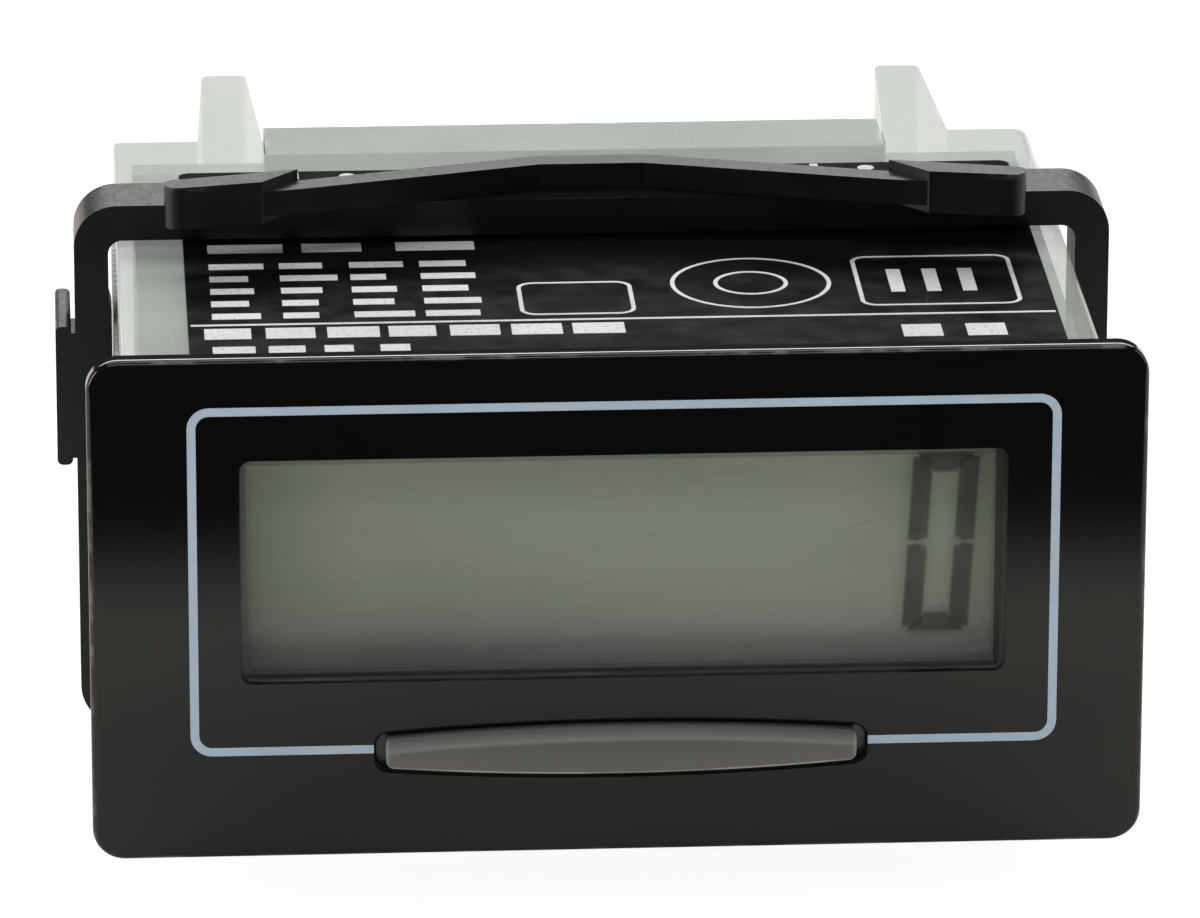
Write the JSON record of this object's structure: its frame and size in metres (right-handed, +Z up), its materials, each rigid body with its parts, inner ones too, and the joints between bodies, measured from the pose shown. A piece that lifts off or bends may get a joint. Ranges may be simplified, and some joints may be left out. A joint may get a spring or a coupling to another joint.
{
  "type": "panel-mount electronic counter",
  "caption": "Electronic totalising counter for a panel, with a display window, reset button, clear case, screw terminals and a sliding spring clip.",
  "frame": {"origin": "centre of the bezel's rear face, in the plane where it meets the front of the panel", "axes": "+X to the viewer's right, +Y rearward through the panel, +Z up"},
  "size_m": [0.076, 0.0716, 0.0444],
  "materials": {
    "black_bezel": "glossy black",
    "clear_lens": "clear, polished",
    "polariser": "grey-green film",
    "display_glass": "clear",
    "reflector": "grey-green, matt",
    "white_moulding": "white, fine texture",
    "zinc_steel": "zinc plated",
    "elastomer": "striped silicone",
    "board_laminate": "green solder resist",
    "gold_pad": "gold flash",
    "chip_epoxy": "matt black",
    "black_moulding": "matt black",
    "cell_sleeve": "green sleeve",
    "nickel": "nickel plated",
    "tinned_lead": "tinned",
    "tinned_can": "drawn can",
    "capacitor_sleeve": "dark blue sleeve",
    "film_epoxy": "red-brown box",
    "terminal_moulding": "pale grey-green",
    "terminal_brass": "tinned brass",
    "clear_case": "clear to milky, moulded",
    "label_film": "black printed film",
    "spring_steel": "drawn wire",
    "button_grey": "dark grey, satin",
    "black_clip": "satin black"
  },
  "bodies": {
    "housing": {"bezel": "black_bezel", "window_lens": "clear_lens", "front_polariser": "polariser", "front_glass": "display_glass", "rear_glass": "display_glass", "rear_reflector": "reflector", "display_holder": "white_moulding", "display_screws": "zinc_steel", "zebra_strip": "elastomer", "display_board": "board_laminate", "reset_contacts": "gold_pad", "driver_chip": "chip_epoxy", "main_board": "board_laminate", "link_body": "black_moulding", "link_pins": "gold_pad", "board_screws": "zinc_steel", "lithium_cell": "cell_sleeve", "cell_tabs": "nickel", "counter_chip": "chip_epoxy", "chip_leads": "tinned_lead", "crystal_can": "tinned_can", "large_capacitor": "capacitor_sleeve", "small_capacitor": "capacitor_sleeve", "film_capacitor": "film_epoxy", "optocouplers": "white_moulding", "terminal_block": "terminal_moulding", "contact_strips": "terminal_brass", "case": "clear_case", "top_label": "label_film", "button_spring": "spring_steel"},
    "reset_button": {"reset_button": "button_grey"},
    "mounting_clip": {"mounting_clip": "black_clip"},
    "clamp_1": {"clamp_plate_1": "nickel"},
    "screw_1": {"terminal_screw_1": "zinc_steel"},
    "clamp_2": {"clamp_plate_2": "nickel"},
    "screw_2": {"terminal_screw_2": "zinc_steel"},
    "clamp_3": {"clamp_plate_3": "nickel"},
    "screw_3": {"terminal_screw_3": "zinc_steel"},
    "clamp_4": {"clamp_plate_4": "nickel"},
    "screw_4": {"terminal_screw_4": "zinc_steel"},
    "clamp_5": {"clamp_plate_5": "nickel"},
    "screw_5": {"terminal_screw_5": "zinc_steel"},
    "clamp_6": {"clamp_plate_6": "nickel"},
    "screw_6": {"terminal_screw_6": "zinc_steel"}
  },
  "joints": [
    {"name": "reset_press", "type": "slide", "parent": "housing", "child": "reset_button", "axis": [0, 1, 0], "range_m": [0, 0.0008], "stiffness_N_per_m": 600, "deforming": ["button_spring"]},
    {"name": "clip_slide", "type": "slide", "parent": "housing", "child": "mounting_clip", "axis": [0, 1, 0], "range_m": [-0.0228, 0.018]},
    {"name": "clamp_1_slide", "type": "slide", "parent": "housing", "child": "clamp_1", "axis": [0, 1, 0], "range_m": [0, 0.002]},
    {"name": "screw_1_turn", "type": "hinge", "parent": "clamp_1", "child": "screw_1", "pos_m": [-0.01875, 0.0523, 0.003], "axis": [0, 1, 0], "range_deg": [0, 1440]},
    {"name": "clamp_2_slide", "type": "slide", "parent": "housing", "child": "clamp_2", "axis": [0, 1, 0], "range_m": [0, 0.002]},
    {"name": "screw_2_turn", "type": "hinge", "parent": "clamp_2", "child": "screw_2", "pos_m": [-0.01125, 0.0523, 0.003], "axis": [0, 1, 0], "range_deg": [0, 1440]},
    {"name": "clamp_3_slide", "type": "slide", "parent": "housing", "child": "clamp_3", "axis": [0, 1, 0], "range_m": [0, 0.002]},
    {"name": "screw_3_turn", "type": "hinge", "parent": "clamp_3", "child": "screw_3", "pos_m": [-0.00375, 0.0523, 0.003], "axis": [0, 1, 0], "range_deg": [0, 1440]},
    {"name": "clamp_4_slide", "type": "slide", "parent": "housing", "child": "clamp_4", "axis": [0, 1, 0], "range_m": [0, 0.002]},
    {"name": "screw_4_turn", "type": "hinge", "parent": "clamp_4", "child": "screw_4", "pos_m": [0.00375, 0.0523, 0.003], "axis": [0, 1, 0], "range_deg": [0, 1440]},
    {"name": "clamp_5_slide", "type": "slide", "parent": "housing", "child": "clamp_5", "axis": [0, 1, 0], "range_m": [0, 0.002]},
    {"name": "screw_5_turn", "type": "hinge", "parent": "clamp_5", "child": "screw_5", "pos_m": [0.01125, 0.0523, 0.003], "axis": [0, 1, 0], "range_deg": [0, 1440]},
    {"name": "clamp_6_slide", "type": "slide", "parent": "housing", "child": "clamp_6", "axis": [0, 1, 0], "range_m": [0, 0.002]},
    {"name": "screw_6_turn", "type": "hinge", "parent": "clamp_6", "child": "screw_6", "pos_m": [0.01875, 0.0523, 0.003], "axis": [0, 1, 0], "range_deg": [0, 1440]}
  ],
  "couplings": [
    {"joint": "screw_1_turn", "follows": "clamp_1_slide", "rad_per_m": 12566},
    {"joint": "screw_2_turn", "follows": "clamp_2_slide", "rad_per_m": 12566},
    {"joint": "screw_3_turn", "follows": "clamp_3_slide", "rad_per_m": 12566},
    {"joint": "screw_4_turn", "follows": "clamp_4_slide", "rad_per_m": 12566},
    {"joint": "screw_5_turn", "follows": "clamp_5_slide", "rad_per_m": 12566},
    {"joint": "screw_6_turn", "follows": "clamp_6_slide", "rad_per_m": 12566}
  ]
}
